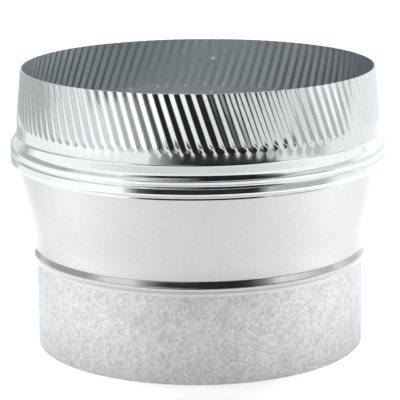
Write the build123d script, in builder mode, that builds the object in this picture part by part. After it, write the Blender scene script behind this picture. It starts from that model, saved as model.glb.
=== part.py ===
"""Galvanised duct taper increaser: plain collar, tapered cone and crimped collar.

Three rolled sheet-metal rings stand on one axis (+Z) with the plain small end
down, so the origin is the centre of the small mouth.  The upper end of each
ring sits inside the foot of the ring above it, and a bead rolled through both
layers locks the two together.  The large end on top is crimped with slanted
flutes, so that it slips into the next pipe.  Each ring is closed by a lap seam
at the back.
"""

import os
from math import atan2, cos, degrees, pi, radians, sin, tan

from build123d import *

# Sheet, in millimetres
sheet = 0.5
layer_gap = 0.06

# Plain collar: the small end
collar_bore_radius = 89.3
collar_length = 47.0
collar_lip = 2.5

# Lower lock bead, rolled through the collar and the foot of the cone
lower_skirt = 1.6
lower_bead_width = 7.0
lower_bead_depth = 1.3
lower_bead_foot = 1.8
lower_bead_slope = 3.2
lower_bead_bend = 1.4

# Large end: the round strip that enters the next pipe
strip_radius = 99.2
strip_length = 5.4

# Cone, with a long soft bend from its neck into the taper
neck_length = 6.9
neck_bend_run = 5.7
taper_height = 37.0
cone_top_step = 0.3

# Upper lock band: two beads with a groove between them
band_step = 3.4
band_skirt = 1.5
band_flare = 1.5
lower_crest = 3.9
groove_depth = 0.6
groove_flank = 1.0
groove_width = 0.6
upper_crest = 2.6
band_bend = 0.4
lower_crest_bend = 1.8
upper_crest_bend = 6.5
cone_edge_setback = 2.3
shoulder_height = 5.2
shoulder_bend = 2.5

# Crimp flutes: each is a ridge and a groove, and the wall draws in towards the rim
flute_count = 111
flute_slant = 18.5
flute_run_in = 4.2
flute_length = 26.0
flute_start_step = 0.5
flute_start_depth = 0.6
rim_step = 3.0
rim_flute_depth = 0.85
groove_azimuth = -115.7

# Lap seams, a little off the back of the ring
seam_azimuth = 85.0
lap_width = 11.0
lap_end_gap = 1.0
lap_start_share = 0.3

# Radii that follow from the sizes above
half_gap = layer_gap / 2
lower_interface = collar_bore_radius + sheet + half_gap
cone_top_radius = strip_radius - cone_top_step
cone_interface = cone_top_radius + half_gap
band_radius = strip_radius + band_step
upper_interface = band_radius - sheet - half_gap
flute_start_radius = strip_radius - flute_start_step
rim_radius = strip_radius - rim_step

# Depths of a lap's second layer, rooted in the middle of the wall that it lies on
lap_root = sheet / 2
lap_face = 2 * sheet

# Heights that follow from the sizes above
lower_bead_start = collar_length + lower_skirt
lower_bead_end = lower_bead_start + lower_bead_width
neck_top = lower_bead_end + neck_length
cone_top = neck_top + taper_height
band_foot = cone_top + band_skirt
lower_crest_start = band_foot + band_flare
lower_crest_end = lower_crest_start + lower_crest
groove_start = lower_crest_end + groove_flank
groove_end = groove_start + groove_width
upper_crest_start = groove_end + groove_flank
upper_crest_end = upper_crest_start + upper_crest
cone_edge = upper_crest_end - cone_edge_setback
strip_start = upper_crest_end + shoulder_height
crimp_start = strip_start + strip_length
flute_start = crimp_start + flute_run_in
rim_height = flute_start + flute_length


def parallel(path, bends, distance):
    """Shift an upward (radius, height) path outwards, with its bends kept concentric."""
    headings = [atan2(b[0] - a[0], b[1] - a[1]) for a, b in zip(path, path[1:])]
    arriving = headings[:1] + headings
    leaving = headings + headings[-1:]
    shifted = []
    for (radius, height), low, high in zip(path, arriving, leaving):
        middle = (low + high) / 2
        reach = distance / cos((high - low) / 2)
        shifted.append((radius + reach * cos(middle), height - reach * sin(middle)))
    turns = [high - low for low, high in zip(headings, headings[1:])]
    signs = [-1 if turn > 0 else 1 for turn in turns]
    return shifted, [bend + sign * distance for bend, sign in zip(bends, signs)]


def sheet_section(path, bends, near, far, plane=Plane.XZ):
    """Section of a sheet between two distances outside a bent (radius, height) path."""
    near_path, near_bends = parallel(path, bends, near)
    far_path, far_bends = parallel(path, bends, far)
    with BuildSketch(plane) as section:
        with BuildLine():
            near_face = FilletPolyline(*near_path, radius=near_bends)
            far_face = FilletPolyline(*far_path, radius=far_bends)
            Line(near_face @ 0, far_face @ 0)
            Line(near_face @ 1, far_face @ 1)
        make_face()
    return section.sketch


def along(start, end, share):
    """Point at a share of the way from one (radius, height) point to another."""
    return tuple(a + share * (b - a) for a, b in zip(start, end))


def lap_angle(radius):
    """Degrees that the lap seam takes up on a ring of this radius."""
    return degrees(lap_width / radius)


def lap_plane(radius):
    """Upright plane through the axis at the first edge of the lap seam."""
    first_edge = seam_azimuth - lap_angle(radius) / 2
    return Plane.XZ.rotated((0, 0, first_edge))


# Path between the two layers of the lower bead
lower_bead = [
    (lower_interface, lower_bead_start),
    (lower_interface + lower_bead_depth, lower_bead_start + lower_bead_foot),
    (lower_interface + lower_bead_depth, lower_bead_end - lower_bead_slope),
    (lower_interface, lower_bead_end),
]
lower_bends = [lower_bead_bend + sheet + half_gap] * len(lower_bead)

# Path between the two layers of the upper band
upper_band = [
    (cone_interface, band_foot),
    (upper_interface, lower_crest_start),
    (upper_interface, lower_crest_end),
    (upper_interface - groove_depth, groove_start),
    (upper_interface - groove_depth, groove_end),
    (upper_interface, upper_crest_start),
]
crease = band_bend + sheet + half_gap
upper_bends = [crease, crease, lower_crest_bend + sheet + half_gap, crease, crease, crease]

# Plain collar, the inner layer of the lower bead
collar_path, collar_bends = parallel(
    [(lower_interface, 0.0)] + lower_bead + [(lower_interface, lower_bead_end + collar_lip)],
    lower_bends,
    -half_gap - sheet,
)
with BuildPart() as plain_collar:
    revolve(sheet_section(collar_path, collar_bends, 0.0, sheet), axis=Axis.Z)
    with BuildSketch(lap_plane(collar_bore_radius)):
        with Locations((collar_bore_radius + lap_root, 0)):
            Rectangle(lap_face - lap_root, collar_length - lap_end_gap, align=Align.MIN)
    revolve(axis=Axis.Z, revolution_arc=lap_angle(collar_bore_radius))

# Tapered cone, the outer layer of the lower bead and the inner layer of the upper band
cone_foot, foot_bends = parallel(
    [(lower_interface, collar_length)] + lower_bead + [(lower_interface, neck_top)],
    lower_bends,
    half_gap,
)
cone_head, head_bends = parallel(
    [(cone_interface, cone_top)] + upper_band + [(upper_interface, cone_edge)],
    upper_bends,
    -half_gap - sheet,
)
cone_path = cone_foot + cone_head
taper_angle = atan2(cone_head[0][0] - cone_foot[-1][0], cone_head[0][1] - cone_foot[-1][1])
neck_bend = neck_bend_run / tan(abs(taper_angle) / 2)
cone_bends = foot_bends + [neck_bend, band_bend + sheet] + head_bends
cone_lap = cone_foot + [along(cone_foot[-1], cone_head[0], 1 - lap_end_gap / taper_height)]
with BuildPart() as taper_cone:
    revolve(sheet_section(cone_path, cone_bends, 0.0, sheet), axis=Axis.Z)
    revolve(
        sheet_section(
            cone_lap, foot_bends + [neck_bend], lap_root, lap_face, lap_plane(cone_top_radius)
        ),
        axis=Axis.Z,
        revolution_arc=lap_angle(cone_top_radius),
    )


def flute_angles(height):
    """Corner angles around the wall at one height: a ridge and a groove in turn."""
    half_pitch = pi / flute_count
    lean = -tan(radians(flute_slant)) * (height - crimp_start) / strip_radius
    first_ridge = radians(groove_azimuth) + lean - half_pitch
    return [first_ridge + corner * half_pitch for corner in range(2 * flute_count)]


def plain_ring(height, radius):
    """Circle at the foot of the crimps, cut into one arc for each edge of a fluted ring."""
    marks = [degrees(angle) for angle in flute_angles(height)]
    plane = Plane.XY.offset(height)
    arcs = [
        Edge.make_circle(radius, plane, start, end)
        for start, end in zip(marks, marks[1:] + [marks[0] + 360])
    ]
    return Wire.combine(arcs)[0]


def fluted_ring(height, radius, depth):
    """Closed outline of the wall at one height, with each groove pressed in by depth."""
    insets = [0.0, depth] * flute_count
    points = [
        ((radius - inset) * cos(angle), (radius - inset) * sin(angle), height)
        for angle, inset in zip(flute_angles(height), insets)
    ]
    return Polyline(*points, close=True)


def fluted_wall(near, far):
    """Solid between two depths inside the fluted face, ruled from ring to ring."""
    faces = []
    feet = []
    rims = []
    for inset in (near, far):
        foot = plain_ring(crimp_start, strip_radius - inset)
        start = fluted_ring(flute_start, flute_start_radius - inset, flute_start_depth)
        rim = fluted_ring(rim_height, rim_radius - inset, rim_flute_depth)
        faces += Face.make_surface_from_curves(wire1=foot, wire2=start).faces()
        faces += Face.make_surface_from_curves(wire1=start, wire2=rim).faces()
        feet.append(foot)
        rims.append(rim)
    for outside, inside in (feet, rims):
        faces.append(Face(outside, [inside]))
    return Solid(Shell(faces))


# Crimped collar: band, shoulder and strip, then the fluted wall, with its lap on the inside
band_path, band_bends = parallel(
    [(cone_interface, cone_top)] + upper_band + [(upper_interface, upper_crest_end)],
    upper_bends,
    half_gap,
)
shoulder_path = [
    band_path[-1],
    (strip_radius - sheet, strip_start),
    (strip_radius - sheet, crimp_start),
]
shoulder_lap = [along(shoulder_path[0], shoulder_path[1], lap_start_share)] + shoulder_path[1:]
flutes = fluted_wall(0.0, sheet)
inner_flutes = fluted_wall(lap_root, lap_face)
with BuildPart() as flute_lap:
    add(inner_flutes)
    with BuildSketch(Plane.XY.offset(crimp_start)):
        with BuildLine():
            first_edge = PolarLine((0, 0), band_radius, seam_azimuth - lap_angle(strip_radius) / 2)
            last_edge = PolarLine((0, 0), band_radius, seam_azimuth + lap_angle(strip_radius) / 2)
            Line(first_edge @ 1, last_edge @ 1)
        make_face()
    extrude(amount=rim_height - crimp_start, mode=Mode.INTERSECT)
with BuildPart() as crimped_collar:
    revolve(
        sheet_section(
            band_path + shoulder_path[1:], band_bends + [upper_crest_bend, shoulder_bend], 0.0, sheet
        ),
        axis=Axis.Z,
    )
    revolve(
        sheet_section(
            shoulder_lap,
            [shoulder_bend],
            sheet - lap_face,
            sheet - lap_root,
            lap_plane(strip_radius),
        ),
        axis=Axis.Z,
        revolution_arc=lap_angle(strip_radius),
    )
    add(flutes)
    add(flute_lap.part)

os.makedirs("parts", exist_ok=True)
for name, piece in (
    ("plain_collar", plain_collar),
    ("taper_cone", taper_cone),
    ("crimped_collar", crimped_collar),
):
    piece.part.label = name
    export_step(piece.part, f"parts/{name}.step")

print(f"height {rim_height:.2f} mm")
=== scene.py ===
# %% [markdown]
# # A galvanised duct taper increaser
# The part is three rolled sheets of zinc-coated steel, locked together by beads: a plain
# collar below, a cone that widens, and a crimped collar on top.  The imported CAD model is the
# frame.  Its solids could be painted as they are, but a thin, shiny sheet shows every bend of
# its surface in its reflections.  So each sheet is drawn again here, in the same place, as a
# fine surface.

# %% Load the frame
from math import asin, cos, pi, radians, sin, tan

import bpy
import numpy as np
from mathutils import Matrix, Vector


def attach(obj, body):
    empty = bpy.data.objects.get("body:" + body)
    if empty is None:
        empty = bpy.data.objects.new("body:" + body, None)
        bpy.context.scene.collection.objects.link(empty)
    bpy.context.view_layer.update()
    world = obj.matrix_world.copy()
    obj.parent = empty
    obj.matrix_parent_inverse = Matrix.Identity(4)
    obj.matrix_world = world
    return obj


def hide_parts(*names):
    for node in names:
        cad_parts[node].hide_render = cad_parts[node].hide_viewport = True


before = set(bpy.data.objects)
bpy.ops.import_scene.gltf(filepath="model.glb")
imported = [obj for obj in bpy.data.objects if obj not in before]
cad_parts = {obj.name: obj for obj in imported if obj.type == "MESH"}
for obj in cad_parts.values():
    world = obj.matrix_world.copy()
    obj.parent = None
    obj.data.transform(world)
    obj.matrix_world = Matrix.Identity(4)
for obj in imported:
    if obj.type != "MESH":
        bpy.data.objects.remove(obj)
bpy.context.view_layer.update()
print("CAD nodes:", sorted(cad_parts))

# %% [markdown]
# ## The camera
# The photograph was taken with a long lens from a little above the rim.  A camera can be moved
# by hand until the view looks right.  Here it is placed by its distance, its height angle and
# the point that it looks at, because numbers can be fitted.  The lens comes from the focal
# length in pixels of a 400-pixel picture, and the small roll and shift come from the way the
# object sits in the frame.

# %% Camera
picture_side = 400
focal_pixels = 1881
camera_distance = 1.037
camera_elevation = radians(13.11)
camera_roll = radians(-0.53)
look_at_height = 0.0762
centre_offset = (1.0, 1.0)

camera_data = bpy.data.cameras.new("camera")
camera_data.sensor_fit = "HORIZONTAL"
camera_data.lens = focal_pixels / picture_side * camera_data.sensor_width
camera_data.shift_x = centre_offset[0] / picture_side
camera_data.shift_y = centre_offset[1] / picture_side
camera = bpy.data.objects.new("camera", camera_data)
bpy.context.scene.collection.objects.link(camera)
backwards = Vector((0, -cos(camera_elevation), sin(camera_elevation)))
camera.matrix_world = (
    Matrix.Translation(Vector((0, 0, look_at_height)) + camera_distance * backwards)
    @ Matrix.Rotation(pi / 2 - camera_elevation, 4, "X")
    @ Matrix.Rotation(camera_roll, 4, "Z")
)
bpy.context.scene.camera = camera
print(f"lens {camera_data.lens:.1f} mm")

# %% [markdown]
# ## Bent paths
# A rolled sheet is a path of (radius, height) points that is carried round the axis.  The
# corners of the path are rounded by arcs, as a roller rounds them.  A Bevel and a Solidify
# modifier could do this, but they know nothing of the layer underneath.  So the arcs are worked
# out here.  The second face of the sheet is the same path shifted sideways, with each arc kept
# concentric, so that the sheet has one thickness everywhere and nested sheets stay apart.


# %% Helpers for bent paths
def headings(path):
    """Angle of each straight run of an upward path, from +Z towards +R."""
    runs = np.diff(path, axis=0)
    return np.arctan2(runs[:, 0], runs[:, 1])


def parallel(path, bends, distance):
    """Path at a distance outside another.

    Each corner moves along the half angle of its runs by distance / cos(half the turn), and
    each bend grows or shrinks by the distance, so that the arcs share their centres.
    """
    path = np.asarray(path, float)
    heading = headings(path)
    arriving = np.concatenate([heading[:1], heading])
    leaving = np.concatenate([heading, heading[-1:]])
    middle = (arriving + leaving) / 2
    reach = distance / np.cos((leaving - arriving) / 2)
    shifted = path + np.column_stack([reach * np.cos(middle), -reach * np.sin(middle)])
    return shifted, np.asarray(bends) - np.sign(np.diff(heading)) * distance


def bent(path, bends, steps, lead=0.0):
    """Path with its corners rounded.

    The arc of a corner starts bend * tan(turn / 2) before it.  Its points are the centre minus
    the bend times the normal, with the normal turned from the first run to the second.  A lead
    adds a point on the straight run at each end of an arc, so that the run is shaded flat.
    """
    path = np.asarray(path, float)
    bends = np.asarray(bends, float)
    heading = headings(path)
    low = heading[:-1]
    turn = np.diff(heading)
    reach = bends * np.sign(turn)
    before = bends * np.tan(np.abs(turn) / 2)
    start = path[1:-1] - before[:, None] * np.column_stack([np.sin(low), np.cos(low)])
    centre = start + reach[:, None] * np.column_stack([np.cos(low), -np.sin(low)])
    sweep = low[:, None] + turn[:, None] * np.linspace(0, 1, steps)
    normal = np.stack([np.cos(sweep), -np.sin(sweep)], axis=-1)
    arcs = centre[:, None, :] - reach[:, None, None] * normal
    if lead:
        along = lead * np.stack([np.sin(heading), np.cos(heading)], axis=-1)[:, None, :]
        arcs = np.concatenate([arcs[:, :1] - along[:-1], arcs, arcs[:, -1:] + along[1:]], axis=1)
    return np.vstack([path[:1], arcs.reshape(-1, 2), path[-1:]])


def filled(profile, spacing):
    """Profile with more points on its long runs, at even steps of its length.

    A step that falls within a third of the spacing from a point of the profile is left out.
    """
    steps = np.hypot(*np.diff(profile, axis=0).T)
    length = np.concatenate([[0], np.cumsum(steps)])
    even = np.arange(0, length[-1], spacing)
    clear = np.abs(even[:, None] - length).min(axis=1) > spacing / 3
    marks = np.sort(np.concatenate([length, even[clear]]))
    return np.column_stack([np.interp(marks, length, profile[:, axis]) for axis in (0, 1)])


def smooth_step(value):
    """3 t^2 - 2 t^3, with t held between 0 and 1: a soft change from 0 to 1."""
    share = np.clip(value, 0, 1)
    return share * share * (3 - 2 * share)


# %% [markdown]
# ## From a grid to a mesh
# Every piece is a grid of points.  Its rows run up the outer face, over the edge, and down the
# inner face, and its columns run round the axis.  A Screw modifier could turn a section round
# the axis, but not one that changes on its way, as at a lap or a flute.  Joining the last row
# to the first and the last column to the first closes the sheet, so there is no open seam.
# Only true edges of the sheet stay sharp.


# %% Helpers for meshes
sharp_angle = radians(42)


def add_piece(name, points, quads, node, slot):
    """Object from points and quads, on the body root, in place of a CAD node if one is named."""
    mesh = bpy.data.meshes.new(name)
    mesh.from_pydata(points, [], quads)
    mesh.polygons.foreach_set("use_smooth", np.ones(len(quads), bool))
    mesh.set_sharp_from_angle(angle=sharp_angle)
    mesh.update()
    piece = bpy.data.objects.new(name, mesh)
    bpy.context.scene.collection.objects.link(piece)
    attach(piece, "root")
    if node:
        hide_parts(node)
    print(f"{name}: {2 * len(quads)} triangles")
    return piece


def round_axis(radius, angle, height):
    """Points (R cos a, R sin a, Z) of a grid, from its radius, angle and height arrays."""
    radius, angle, height = np.broadcast_arrays(radius, angle, height)
    return np.stack([radius * np.cos(angle), radius * np.sin(angle), height], axis=-1)


def closed_quads(rows, columns):
    """Quads of a grid that is closed both ways, like the skin of a ring.

    A quad is a point, its neighbour to the right, the one above that, and the one above itself.
    """
    corner = np.arange(rows * columns).reshape(rows, columns)
    right = np.roll(corner, -1, axis=1)
    quads = [corner, right, np.roll(right, -1, axis=0), np.roll(corner, -1, axis=0)]
    return np.stack(quads, axis=-1).reshape(-1, 4)


def tube_quads(rows, columns):
    """Quads of a grid whose rows close into a loop, with its first and last column capped.

    The rows go up one face and down the other, so row i on the first face lies opposite row
    rows - 1 - i on the second, and a cap is a strip of quads between the two.
    """
    corner = np.arange(rows * columns).reshape(rows, columns)
    above = np.roll(corner, -1, axis=0)
    skin = np.stack([corner[:, :-1], corner[:, 1:], above[:, 1:], above[:, :-1]], axis=-1)
    half = rows // 2
    front = corner[:half]
    back = corner[::-1][:half]
    strips = [front[:-1], front[1:], back[1:], back[:-1]]
    first = np.stack([strip[:, 0] for strip in strips], axis=-1)
    last = np.stack([strip[:, -1] for strip in strips[::-1]], axis=-1)
    return np.vstack([skin.reshape(-1, 4), first, last])


# %% [markdown]
# ## The lap seam
# Each sheet is rolled until its ends overlap by 11 mm, and spot welds hold the overlap.  Going
# round the outside, the sheet climbs by its own thickness, crosses over its other end, and
# stops at a sharp edge.  Inside, the edge is at the other side of the overlap.  A strip could
# be laid over a round ring, but then one of its two sides would have an edge too many.  So the
# ring itself is lifted: both faces get a soft ramp and a sudden step.  The welds are shallow
# round dents.

# %% Lap seam
sheet = 0.0005
layer_gap = 0.00006
half_gap = layer_gap / 2
seam_azimuth = radians(85)
lap_width = 0.011
lap_ramp = 0.010
lap_edge = 0.00004
lap_column = 0.0005
lap_end_gap = 2 * sheet
weld_radius = 0.0021
weld_depth = 0.00035


def from_seam(angle, radius):
    """Distance along the wall from the middle of the lap.

    It is the angle from the seam, held between -pi and pi, times the radius.
    """
    return ((angle - seam_azimuth + pi) % (2 * pi) - pi) * radius


def seam_columns(count, radius):
    """Angles round a ring: even ones, close ones over the lap, and a pair at each edge.

    An even one that lies within a close column's width of another is left out.
    """
    even = np.linspace(0, 2 * pi, count, endpoint=False)
    reach = lap_width / 2 + lap_ramp
    close = np.arange(-reach, lap_width, lap_column)
    edges = np.array([-1, -1, 1, 1]) * lap_width / 2 + np.array([-1, 1, -1, 1]) * lap_edge
    near = np.concatenate([close, edges])
    apart = np.abs(from_seam(even, radius)[:, None] - near).min(axis=1) > lap_column
    angles = np.concatenate([even[apart], seam_azimuth + near / radius])
    return np.sort(angles % (2 * pi))


def lap_lift(angle, radius):
    """Share of a sheet's thickness by which the outer and the inner face stand out.

    It is a soft step up the ramp before the lap, cut off where the face has its edge: after
    the lap on the outer face, and before it on the inner one.
    """
    place = from_seam(angle, radius)
    climb = smooth_step((place + lap_width / 2 + lap_ramp) / lap_ramp)
    return climb * (place < lap_width / 2), climb * (place < -lap_width / 2)


def weld_dents(angle, height, radius, weld_heights):
    """Depth of the weld dents: (1 - d^2)^2 inside each weld, with d the share of its radius."""
    across = from_seam(angle, radius)[..., None]
    along = np.asarray(height)[..., None] - np.asarray(weld_heights)
    share = np.clip((across**2 + along**2) / weld_radius**2, 0, 1)
    return weld_depth * ((1 - share) ** 2).sum(axis=-1)


print(f"lap: {1000 * lap_width:.0f} mm wide, after a ramp of {1000 * lap_ramp:.0f} mm")

# %% [markdown]
# ## A lapped ring
# The plain collar and the cone are both rings of one section.  The rows could be equally close
# on both faces, but the outer face is the one that shows.  So it is climbed in close rows, and
# the inner face in wider ones, which keeps the mesh light.

# %% Lapped ring
outer_spacing = 0.0010
inner_spacing = 0.0045
bend_steps = 5
bend_lead = 0.00003
ring_columns = 400


def lapped_ring(outer, inner, columns, radius, lap_range, weld_heights):
    """Points and quads of a ring whose section is carried round the axis.

    The radius is that of the section plus the sheet times the lap's lift, with the weld dents
    pressed in from each face.  A soft window keeps the lift between the heights of the lap.
    """
    outer_lift, inner_lift = lap_lift(columns, radius)
    grids = []
    for face, lift, inward in ((outer, outer_lift, 1), (inner[::-1], inner_lift, -1)):
        height = face[:, 1:]
        window = smooth_step((height - lap_range[0]) / sheet + 1)
        window = window * smooth_step((lap_range[1] - height) / sheet + 1)
        dents = weld_dents(columns[None, :], height, radius, weld_heights)
        wall = face[:, :1] + sheet * lift * window - inward * dents
        grids.append(round_axis(wall, columns, height))
    grid = np.vstack(grids)
    return grid.reshape(-1, 3), closed_quads(*grid.shape[:2])


print(f"rows: {1000 * outer_spacing:.1f} mm apart outside, {1000 * inner_spacing:.1f} mm inside")

# %% [markdown]
# ## The plain collar
# The small end is a straight wall that takes the pipe below.  Near its top a half-round bead is
# rolled through it and through the foot of the cone, and a short lip stands up inside the cone.
# The bead could be a ring of its own, but on the real part it is the same sheet.  So it belongs
# to the section, and light runs over it without a break.

# %% Plain collar
collar_bore_radius = 0.0893
collar_length = 0.0470
collar_lip = 0.0025
lower_skirt = 0.0016
lower_bead_width = 0.0062
lower_bead_depth = 0.0013
lower_bead_foot = 0.0018
lower_bead_slope = 0.0032
lower_bead_bend = 0.0017
collar_welds = (0.008, 0.023, 0.038)

lower_interface = collar_bore_radius + sheet + half_gap
bead_start = collar_length + lower_skirt
bead_end = bead_start + lower_bead_width
bead_crest = lower_interface + lower_bead_depth
lower_bead = [
    (lower_interface, bead_start),
    (bead_crest, bead_start + lower_bead_foot),
    (bead_crest, bead_end - lower_bead_slope),
    (lower_interface, bead_end),
]
lower_bends = [lower_bead_bend + sheet + half_gap] * len(lower_bead)
collar_path = [(lower_interface, 0)] + lower_bead + [(lower_interface, bead_end + collar_lip)]
collar_outer = bent(*parallel(collar_path, lower_bends, -half_gap), bend_steps, bend_lead)
collar_inner = bent(*parallel(collar_path, lower_bends, -half_gap - sheet), bend_steps)
plain_collar = add_piece(
    "plain_collar_sheet",
    *lapped_ring(
        filled(collar_outer, outer_spacing),
        filled(collar_inner, inner_spacing),
        seam_columns(ring_columns, collar_bore_radius),
        collar_bore_radius,
        (0, collar_length - lap_end_gap),
        collar_welds,
    ),
    "plain_collar",
    "collar_sheet",
)

# %% [markdown]
# ## The cone
# The foot of the cone slips over the collar and takes the bead with it.  A long soft bend leads
# into the taper, and the head passes inside the crimped collar, where a double bead locks the
# two.  The head could be left out, because it is hidden from outside, but it is what a look
# down the duct shows.

# %% Cone
strip_radius = 0.0992
neck_length = 0.0077
neck_bend_run = 0.0057
taper_height = 0.0370
cone_top_step = 0.0003
band_step = 0.0034
band_skirt = 0.0015
band_flare = 0.0015
lower_crest = 0.0039
groove_depth = 0.0006
groove_flank = 0.0010
groove_width = 0.0006
upper_crest = 0.0026
band_bend = 0.0004
lower_crest_bend = 0.0018
cone_edge_setback = 0.0023
cone_welds = (0.066, 0.080, 0.094)

cone_top_radius = strip_radius - cone_top_step
band_radius = strip_radius + band_step
cone_interface = cone_top_radius + half_gap
upper_interface = band_radius - sheet - half_gap
neck_top = bead_end + neck_length
cone_top = neck_top + taper_height
band_foot = cone_top + band_skirt
crest_start = band_foot + band_flare
groove_start = crest_start + lower_crest + groove_flank
groove_end = groove_start + groove_width
upper_crest_start = groove_end + groove_flank
upper_crest_end = upper_crest_start + upper_crest
upper_band = [
    (cone_interface, band_foot),
    (upper_interface, crest_start),
    (upper_interface, crest_start + lower_crest),
    (upper_interface - groove_depth, groove_start),
    (upper_interface - groove_depth, groove_end),
    (upper_interface, upper_crest_start),
]
crease = band_bend + sheet + half_gap
upper_bends = [crease, crease, lower_crest_bend + sheet + half_gap, crease, crease, crease]

foot_path = [(lower_interface, collar_length)] + lower_bead + [(lower_interface, neck_top)]
cone_foot, foot_bends = parallel(foot_path, lower_bends, half_gap)
head_edge = (upper_interface, upper_crest_end - cone_edge_setback)
head_path = [(cone_interface, cone_top)] + upper_band + [head_edge]
cone_head, head_bends = parallel(head_path, upper_bends, -half_gap - sheet)
taper_run = cone_head[0] - cone_foot[-1]
neck_bend = neck_bend_run / tan(np.arctan2(*taper_run) / 2)
cone_path = np.vstack([cone_foot, cone_head])
cone_bends = np.concatenate([foot_bends, [neck_bend, band_bend + sheet], head_bends])
cone_inner = bent(cone_path, cone_bends, bend_steps)
cone_outer = bent(*parallel(cone_path, cone_bends, sheet), bend_steps, bend_lead)
taper_cone = add_piece(
    "taper_cone_sheet",
    *lapped_ring(
        filled(cone_outer, outer_spacing),
        filled(cone_inner, inner_spacing),
        seam_columns(ring_columns, cone_top_radius),
        cone_top_radius,
        (0, cone_top - lap_end_gap),
        cone_welds,
    ),
    "taper_cone",
    "cone_sheet",
)

# %% [markdown]
# ## The flutes
# The large end is crimped so that it slips into the next pipe.  A crimping tool presses ridges
# and grooves into the sheet, side by side and at a slant.  They start from nothing above a
# plain strip, and the wall draws in towards the rim.  A bump texture could draw them, but only
# a true wave gives the wavy rim and the broken reflections.  So the wall itself is waved.

# %% Flutes
shoulder_height = 0.0052
strip_length = 0.0054
strip_draw = 0.00045
flute_count = 111
flute_slant = radians(18.5)
flute_run_in = 0.0042
flute_length = 0.0260
flute_start_step = 0.0005
flute_start_depth = 0.00060
rim_step = 0.0030
rim_flute_depth = 0.00085
flute_sharpness = 0.985

strip_start = upper_crest_end + shoulder_height
crimp_start = strip_start + strip_length
flute_start = crimp_start + flute_run_in
rim_height = flute_start + flute_length
flute_pitch = 2 * pi / flute_count


def lean(height):
    """Angle by which the flutes have moved round the wall: -tan(slant) * climb / radius."""
    return -tan(flute_slant) * np.clip(height - crimp_start, 0, None) / strip_radius


def groove(phase):
    """Shape of one flute across the pitch: 1 in the groove, 0 on the ridge.

    asin(s cos(2 pi p)) / asin(s) is a triangle wave whose corners are rounded, and sharper the
    nearer s is to 1.
    """
    wave = np.arcsin(flute_sharpness * np.cos(2 * pi * phase)) / asin(flute_sharpness)
    return (1 + wave) / 2


def crimp_draw(height):
    """How far the wall has drawn in, and how deep the grooves are, at each height.

    Each is a sum of steps times shares: a straight share up the strip, a soft one over the
    run-in and a straight one up the flutes.
    """
    strip_share = np.clip((height - strip_start) / strip_length, 0, 1)
    start = smooth_step((height - crimp_start) / flute_run_in)
    climb = np.clip((height - flute_start) / flute_length, 0, 1)
    draw = strip_draw * strip_share + (flute_start_step - strip_draw) * start
    draw = draw + (rim_step - flute_start_step) * climb
    depth = flute_start_depth * start + (rim_flute_depth - flute_start_depth) * climb
    return draw, depth


print(f"flutes: {flute_count}, {1000 * flute_pitch * strip_radius:.2f} mm apart")

# %% [markdown]
# ## The crimped collar
# Below its flutes, this sheet has the outer layer of the double bead, a sloped shoulder and the
# plain strip.  A grid with upright columns could follow the slant, but only with many rows.
# Here the columns lean with the flutes, so that a groove is the same few columns from its foot
# to the rim and needs few rows.  Their places are shares of the pitch, with 0 in the groove and
# 0.5 on the ridge.

# %% Crimped collar
upper_crest_bend = 0.0065
shoulder_bend = 0.0025
groove_azimuth = radians(-115.71)
groove_columns = np.array([-0.44, -0.25, -0.06, 0, 0.06, 0.25, 0.44, 0.5])
band_steps = 4
hidden_steps = 2
run_in_rows = 6
flute_rows = 5


def crimped_face(profile, phase):
    """Grid of one face: the profile, then the rows of the flutes up to the rim.

    The radius is the wall less the draw and the depth times the groove's shape, and the angle
    is the phase times the pitch plus the lean.
    """
    run_in = np.linspace(crimp_start, flute_start, run_in_rows + 1)[1:]
    flutes = np.linspace(flute_start, rim_height, flute_rows + 1)[1:]
    height = np.concatenate([profile[:, 1], run_in, flutes])[:, None]
    wall = np.concatenate([profile[:, 0], np.full(run_in_rows + flute_rows, profile[-1, 0])])
    draw, depth = crimp_draw(height)
    radius = wall[:, None] - draw - depth * groove(phase)
    angle = groove_azimuth + phase * flute_pitch + lean(height)
    return round_axis(radius, angle, height)


crimp_path = [(cone_interface, cone_top)] + upper_band + [(upper_interface, upper_crest_end)]
crimp_band, crimp_bends = parallel(crimp_path, upper_bends, half_gap)
shoulder = [(strip_radius - sheet, strip_start), (strip_radius - sheet, crimp_start)]
crimp_band = np.vstack([crimp_band, shoulder])
crimp_bends = np.concatenate([crimp_bends, [upper_crest_bend, shoulder_bend]])
crimp_inner = bent(crimp_band, crimp_bends, hidden_steps)
crimp_outer = bent(*parallel(crimp_band, crimp_bends, sheet), band_steps, bend_lead)
flute_phase = (np.arange(flute_count)[:, None] + groove_columns).reshape(-1)
outer_grid = crimped_face(crimp_outer, flute_phase)
inner_grid = crimped_face(crimp_inner, flute_phase)
crimp_grid = np.vstack([outer_grid, inner_grid[::-1]])
crimped_collar = add_piece(
    "crimped_collar_sheet",
    crimp_grid.reshape(-1, 3),
    closed_quads(*crimp_grid.shape[:2]),
    "crimped_collar",
    "crimped_sheet",
)

# %% [markdown]
# ## The lap inside the crimped collar
# Here the overlap lies on the inside, so that the outside stays round for the next pipe.  It
# could be lifted out of the wall's own grid, as on the other rings, but its sides are upright
# and cross the slanted flutes.  So the second layer is a narrow strip with its own fine grid,
# and its flutes nest in those of the wall.

# %% Crimped lap
crimp_lap_start = 0.1180
crimp_lap_end_gap = 0.0004
crimp_lap_sink = 0.00010
crimp_lap_rows = 70
crimp_lap_columns = 56
crimp_welds = (0.1195, 0.1400)

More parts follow.
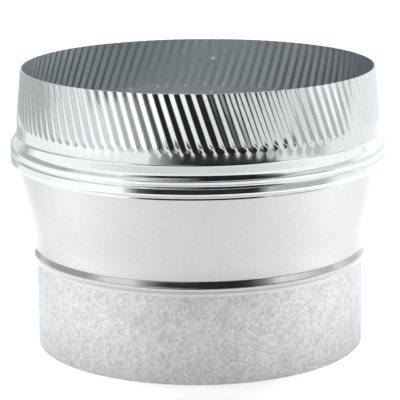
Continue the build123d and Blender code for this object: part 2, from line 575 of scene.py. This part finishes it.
crimp_lap_top = rim_height - crimp_lap_end_gap
lap_height = np.linspace(crimp_lap_start, crimp_lap_top, crimp_lap_rows)[:, None]
lap_half = lap_width / 2 / strip_radius
lap_angle = np.linspace(seam_azimuth - lap_half, seam_azimuth + lap_half, crimp_lap_columns)
lap_phase = (lap_angle - lean(lap_height) - groove_azimuth) / flute_pitch
lap_draw, lap_depth = crimp_draw(lap_height)
wall_inside = strip_radius - sheet - lap_draw - lap_depth * groove(lap_phase)
lap_dents = weld_dents(lap_angle[None, :], lap_height, strip_radius, crimp_welds)
lap_outer = round_axis(wall_inside + crimp_lap_sink, lap_angle, lap_height)
lap_inner = round_axis(wall_inside - sheet + lap_dents, lap_angle, lap_height)
lap_grid = np.vstack([lap_outer, lap_inner[::-1]])
crimped_lap = add_piece(
    "crimped_lap",
    lap_grid.reshape(-1, 3),
    tube_quads(*lap_grid.shape[:2]),
    None,
    "crimped_sheet",
)

# %% [markdown]
# ## The spangle
# Zinc freezes on the sheet in flat crystals, the spangle.  Each crystal reflects a little more
# or less than its neighbours.  A picture could be wrapped round the sheet, but a pattern that
# is worked out from the place of each point has no seam.  A Voronoi texture gives cells with
# random values, a fine noise makes their edges uneven, and a broad noise adds clouds.

# %% Spangle
crystals_per_metre = 900
drift_scale = crystals_per_metre * 1.5
drift_detail = 3
drift_share = 0.6 / crystals_per_metre
cloud_scale = crystals_per_metre / 6
cloud_detail = 4
cloud_share = 0.45


def spangle(nodes, links):
    """Tone of the crystals: the random value of each cell, mixed with a share of cloud."""
    place = nodes.new("ShaderNodeTexCoord").outputs["Object"]
    drift = nodes.new("ShaderNodeTexNoise")
    drift.inputs["Scale"].default_value = drift_scale
    drift.inputs["Detail"].default_value = drift_detail
    links.new(place, drift.inputs["Vector"])
    uneven = nodes.new("ShaderNodeMix")
    uneven.data_type = "VECTOR"
    uneven.inputs["Factor"].default_value = drift_share
    links.new(place, uneven.inputs["A"])
    links.new(drift.outputs["Color"], uneven.inputs["B"])
    crystal = nodes.new("ShaderNodeTexVoronoi")
    crystal.inputs["Scale"].default_value = crystals_per_metre
    links.new(uneven.outputs["Result"], crystal.inputs["Vector"])
    cloud = nodes.new("ShaderNodeTexNoise")
    cloud.inputs["Scale"].default_value = cloud_scale
    cloud.inputs["Detail"].default_value = cloud_detail
    links.new(place, cloud.inputs["Vector"])
    tone = nodes.new("ShaderNodeMix")
    tone.inputs["Factor"].default_value = cloud_share
    links.new(crystal.outputs["Color"], tone.inputs["A"])
    links.new(cloud.outputs["Fac"], tone.inputs["B"])
    return tone.outputs["Result"]


print(f"crystals: about {1000 / crystals_per_metre:.1f} mm across")

# %% [markdown]
# ## Galvanised steel
# The colour and the roughness of the metal follow the tone of the spangle.  The plain collar
# has the strongest spangle and a small bump.  The cone and the flutes are smooth and bright,
# and the inside of the crimped collar is duller.  Two shaders could be mixed for this, but one
# whose values change from crystal to crystal is simpler.

# %% Galvanised finish
dark_tone = 0.25
light_tone = 0.75
relief_depth = 0.0002


def mapped(nodes, links, value, low, high, from_low=0.0, from_high=1.0):
    """Map Range node from one span of values to another; returns its output."""
    node = nodes.new("ShaderNodeMapRange")
    node.inputs["From Min"].default_value = from_low
    node.inputs["From Max"].default_value = from_high
    node.inputs["To Min"].default_value = low
    node.inputs["To Max"].default_value = high
    links.new(value, node.inputs["Value"])
    return node.outputs["Result"]


def galvanised(name, dark, light, rough, bump=0.0):
    """Zinc-coated steel that goes from dark and rough to light and smooth with the spangle."""
    material = bpy.data.materials.new(name)
    material.use_nodes = True
    nodes = material.node_tree.nodes
    links = material.node_tree.links
    shader = nodes["Principled BSDF"]
    shader.inputs["Metallic"].default_value = 1.0
    tone = spangle(nodes, links)

    colour = nodes.new("ShaderNodeValToRGB")
    dark_end, light_end = colour.color_ramp.elements
    dark_end.position = dark_tone
    dark_end.color = (*dark, 1)
    light_end.position = light_tone
    light_end.color = (*light, 1)
    links.new(tone, colour.inputs["Fac"])
    links.new(colour.outputs["Color"], shader.inputs["Base Color"])
    smooth, matt = rough
    links.new(mapped(nodes, links, tone, matt, smooth), shader.inputs["Roughness"])

    if bump:
        relief = nodes.new("ShaderNodeBump")
        relief.inputs["Strength"].default_value = bump
        relief.inputs["Distance"].default_value = relief_depth
        links.new(tone, relief.inputs["Height"])
        links.new(relief.outputs["Normal"], shader.inputs["Normal"])
    return material


collar_zinc = galvanised(
    "collar_zinc",
    dark=(0.40, 0.405, 0.415),
    light=(0.57, 0.575, 0.585),
    rough=(0.30, 0.42),
    bump=0.08,
)
cone_zinc = galvanised(
    "cone_zinc", dark=(0.45, 0.45, 0.46), light=(0.48, 0.48, 0.49), rough=(0.14, 0.16)
)
crimp_zinc = galvanised(
    "crimp_zinc", dark=(0.60, 0.63, 0.64), light=(0.64, 0.66, 0.67), rough=(0.07, 0.09)
)
inside_zinc = galvanised(
    "inside_zinc", dark=(0.56, 0.62, 0.63), light=(0.60, 0.65, 0.66), rough=(0.34, 0.38)
)
print("materials:", sorted(material.name for material in bpy.data.materials))

# %% [markdown]
# ## A finish for each sheet
# Each sheet gets its own zinc.  The crimped collar could be cut in two at its rim, but it is
# one sheet with a bright and a dull face.  So it has two materials, and the rows of its grid
# tell which faces lie inside.

# %% Finish of each sheet
for piece, material in (
    (plain_collar, collar_zinc),
    (taper_cone, cone_zinc),
    (crimped_collar, crimp_zinc),
    (crimped_collar, inside_zinc),
    (crimped_lap, inside_zinc),
):
    piece.data.materials.append(material)
is_inside = np.arange(len(crimp_grid)) >= len(outer_grid)
inside_index = np.repeat(is_inside, crimp_grid.shape[1]).astype(np.int32)
crimped_collar.data.polygons.foreach_set("material_index", inside_index)
print(f"dull faces inside the crimped collar: {inside_index.sum()}")

# %% [markdown]
# ## The floor
# The part stands on a plain white table.  A studio often has a backdrop that bends up behind
# the object.  Here the sky is as white as the floor where they meet, so one wide plane is
# enough.

# %% Floor
matt_roughness = 0.9
floor_reach = 6.0
floor_grey = 0.92


def plain_paint(name, grey):
    """Matt grey paint for the set."""
    material = bpy.data.materials.new(name)
    material.use_nodes = True
    shader = material.node_tree.nodes["Principled BSDF"]
    shader.inputs["Base Color"].default_value = (grey, grey, grey, 1)
    shader.inputs["Roughness"].default_value = matt_roughness
    shader.inputs["Specular IOR Level"].default_value = 0.0
    return material


def stage_plane(name, corners, material):
    """Flat quad of the set, given by its corners, that isn't part of the object."""
    mesh = bpy.data.meshes.new(name)
    mesh.from_pydata(corners, [], [(0, 1, 2, 3)])
    plane = bpy.data.objects.new(name, mesh)
    bpy.context.scene.collection.objects.link(plane)
    mesh.materials.append(material)
    return plane


def level_plane(name, x_range, y_range, height, material):
    """Level plane of the set over a range of X and a range of Y."""
    left, right = x_range
    front, back = y_range
    outline = [(left, front), (right, front), (right, back), (left, back)]
    return stage_plane(name, [(x, y, height) for x, y in outline], material)


floor_range = (-floor_reach, floor_reach)
level_plane("floor", floor_range, floor_range, 0, plain_paint("floor_white", floor_grey))
print(f"floor: {2 * floor_reach:.0f} m wide")

# %% [markdown]
# ## Paint for the cards
# Shiny metal shows what stands round it, so a photographer puts cards round a metal object.
# Their reflections draw its shape.  A card of one grey would show a hard edge on the metal.  A
# Gradient Texture could fade it evenly, but a ramp with several marks can fade each side in its
# own way.


# %% Card paint
def grey_ramp(nodes, marks):
    """Color Ramp node through marks, which are (position, grey) pairs in rising order."""
    ramp = nodes.new("ShaderNodeValToRGB")
    elements = ramp.color_ramp.elements
    elements[0].position = marks[0][0]
    elements[1].position = marks[-1][0]
    for position, _ in marks[1:-1]:
        elements.new(position)
    for element, (_, grey) in zip(elements, marks):
        element.color = (grey, grey, grey, 1)
    return ramp


def card_paint(name, marks):
    """Matt paint that fades along X: marks are (place in metres, grey) pairs from left to right."""
    material = plain_paint(name, 0.0)
    nodes = material.node_tree.nodes
    links = material.node_tree.links
    split = nodes.new("ShaderNodeSeparateXYZ")
    links.new(nodes.new("ShaderNodeTexCoord").outputs["Object"], split.inputs["Vector"])
    left, right = marks[0][0], marks[-1][0]
    share = mapped(nodes, links, split.outputs["X"], 0.0, 1.0, left, right)
    fade = grey_ramp(nodes, [((place - left) / (right - left), grey) for place, grey in marks])
    links.new(share, fade.inputs["Fac"])
    links.new(fade.outputs["Color"], nodes["Principled BSDF"].inputs["Base Color"])
    return material


# %% [markdown]
# ## Cards
# Dark cards stand before the part, one above another, and give the dark stripes on the beads,
# the strip and the flutes.  Grey ones at the sides tone down its flanks, and a white one behind
# brightens the flutes at the right.  The camera doesn't see them.  A picture of a studio could
# be the sky instead, but then the reflections would not change with height, as those of cards
# near by do.


# %% Cards
def studio_card(name, distance, foot, top, marks, turn=0.0, shades=True):
    """Upright card that the camera doesn't see, with grey tones along its width.

    It faces the axis from a distance, and the turn takes it round from the camera's side
    towards +X.  A card that doesn't shade takes no light from the floor.
    """
    left, right = marks[0][0], marks[-1][0]
    outline = [(left, foot), (right, foot), (right, top), (left, top)]
    corners = [(across, -distance, height) for across, height in outline]
    card = stage_plane(name, corners, card_paint(name + "_paint", marks))
    card.rotation_euler.z = turn
    card.visible_camera = False
    card.visible_shadow = shades
    card.visible_diffuse = shades
    return card


cards = [
    studio_card(
        "camera_card",
        distance=0.56,
        foot=0.073,
        top=0.140,
        marks=[(-0.30, 0.7), (-0.17, 0.2), (-0.09, 0.02), (0.44, 0.02), (0.54, 0.12), (0.66, 0.7)],
    ),
    studio_card(
        "tall_card",
        distance=0.56,
        foot=0.140,
        top=0.250,
        marks=[(-0.36, 0.8), (-0.12, 0.42), (0.02, 0.02), (0.36, 0.02), (0.58, 0.15), (0.90, 0.8)],
    ),
    studio_card(
        "high_card",
        distance=0.56,
        foot=0.250,
        top=0.460,
        marks=[(-0.58, 0.9), (-0.40, 0.30), (-0.24, 0.02), (0.34, 0.02), (0.52, 0.25), (0.70, 0.9)],
    ),
    studio_card(
        "foot_card",
        distance=0.41,
        foot=0.001,
        top=0.058,
        marks=[(-0.36, 0.8), (-0.26, 0.10), (-0.18, 0.02), (0.25, 0.02), (0.36, 0.8)],
    ),
    studio_card(
        "left_card",
        distance=0.50,
        foot=0.095,
        top=0.250,
        marks=[(-0.36, 0.9), (-0.22, 0.54), (0.20, 0.54), (0.34, 0.9)],
        turn=radians(-100),
    ),
    studio_card(
        "far_left_card",
        distance=0.50,
        foot=0.001,
        top=0.100,
        marks=[(-0.22, 0.9), (-0.12, 0.55), (0.12, 0.55), (0.22, 0.9)],
        turn=radians(-150),
        shades=False,
    ),
    studio_card(
        "right_card",
        distance=0.50,
        foot=0.001,
        top=0.085,
        marks=[(-0.24, 0.9), (-0.14, 0.5), (0.14, 0.5), (0.24, 0.9)],
        turn=radians(57),
    ),
    studio_card(
        "back_card",
        distance=0.55,
        foot=0.120,
        top=0.270,
        marks=[(-0.30, 1.0), (0.30, 1.0)],
        turn=radians(125),
    ),
]
print("cards:", [card.name for card in cards])

# %% [markdown]
# ## A flag
# A flag is a small sheet that keeps the light off one spot.  This one hangs over the floor
# before the collar, and the collar mirrors the shade under it.  A grey patch could be painted
# on the floor, but it would have a hard edge, and shade is soft.  Neither the camera nor a
# reflection shows the flag itself.

# %% Flag
floor_flag = level_plane(
    "floor_flag",
    x_range=(-0.048, 0.048),
    y_range=(-0.126, -0.106),
    height=0.045,
    material=plain_paint("flag_grey", 0.10),
)
floor_flag.visible_camera = False
floor_flag.visible_glossy = False
print("flag:", floor_flag.name)

# %% [markdown]
# ## Lamps
# The sky alone could light the set, but the sides of the cone mirror a floor that is brighter
# than the rest.  So area lamps light the floor beside the part, and one more lights the white
# card behind it.  They are kept out of reflections, where they would show as hard shapes.  A
# spot lamp sends a narrow beam into the duct, where little light from the sky arrives.


# %% Lamps
def aimed_light(data, place, target):
    """Object of a lamp at a place, with its -Z axis turned towards a target."""
    light = bpy.data.objects.new(data.name, data)
    bpy.context.scene.collection.objects.link(light)
    light.location = place
    aim = Vector(target) - Vector(place)
    light.rotation_euler = aim.to_track_quat("-Z", "Y").to_euler()
    return light


def soft_light(name, place, target, size, power):
    """Area lamp of a (width, height) that faces a target and doesn't show in reflections."""
    data = bpy.data.lights.new(name, "AREA")
    data.shape = "RECTANGLE"
    data.size, data.size_y = size
    data.energy = power
    aimed_light(data, place, target).visible_glossy = False


soft_light(
    "left_light",
    place=(-0.24, -0.055, 0.20),
    target=(-0.17, -0.055, 0),
    size=(0.10, 0.20),
    power=0.35,
)
soft_light(
    "right_light",
    place=(0.24, -0.055, 0.20),
    target=(0.17, -0.055, 0),
    size=(0.10, 0.20),
    power=0.36,
)
soft_light(
    "front_light",
    place=(-0.75, -0.35, 0.60),
    target=(-0.70, -0.35, 0),
    size=(0.50, 0.90),
    power=2.5,
)
soft_light(
    "back_light",
    place=(0.25, 0.17, 0.45),
    target=(0.45, 0.315, 0.22),
    size=(0.10, 0.30),
    power=0.75,
)
duct_beam = bpy.data.lights.new("duct_light", "SPOT")
duct_beam.energy = 30
duct_beam.spot_size = radians(10)
duct_beam.spot_blend = 0.3
aimed_light(duct_beam, place=(-0.22, -0.10, 0.86), target=(0.035, 0.02, 0.08))
print("lamps:", sorted(light.name for light in bpy.data.lights))

# %% [markdown]
# ## The sky
# The sky is the widest thing that the metal mirrors.  A picture of a sky could be used, but a
# few grey bands are enough.  The Z of a direction is the sine of its height above the horizon,
# and a ramp turns it into a brightness.  The bands are (sine, brightness) pairs.

# %% Sky
sky_strength = 1.20
sky_bands = [
    (0.00, 0.90),
    (0.06, 0.85),
    (0.18, 0.85),
    (0.21, 0.75),
    (0.26, 0.75),
    (0.34, 1.20),
    (0.60, 1.20),
    (0.80, 0.80),
    (0.88, 0.90),
    (0.93, 1.60),
]

world = bpy.data.worlds.new("studio")
world.use_nodes = True
sky_nodes = world.node_tree.nodes
sky_links = world.node_tree.links
sky_split = sky_nodes.new("ShaderNodeSeparateXYZ")
sky_links.new(sky_nodes.new("ShaderNodeTexCoord").outputs["Generated"], sky_split.inputs["Vector"])
sky = grey_ramp(sky_nodes, sky_bands)
sky_links.new(sky_split.outputs["Z"], sky.inputs["Fac"])
background = sky_nodes["Background"]
sky_links.new(sky.outputs["Color"], background.inputs["Color"])
background.inputs["Strength"].default_value = sky_strength
bpy.context.scene.world = world
bpy.context.scene.view_settings.view_transform = "Standard"
print(f"sky: {len(sky_bands)} bands")
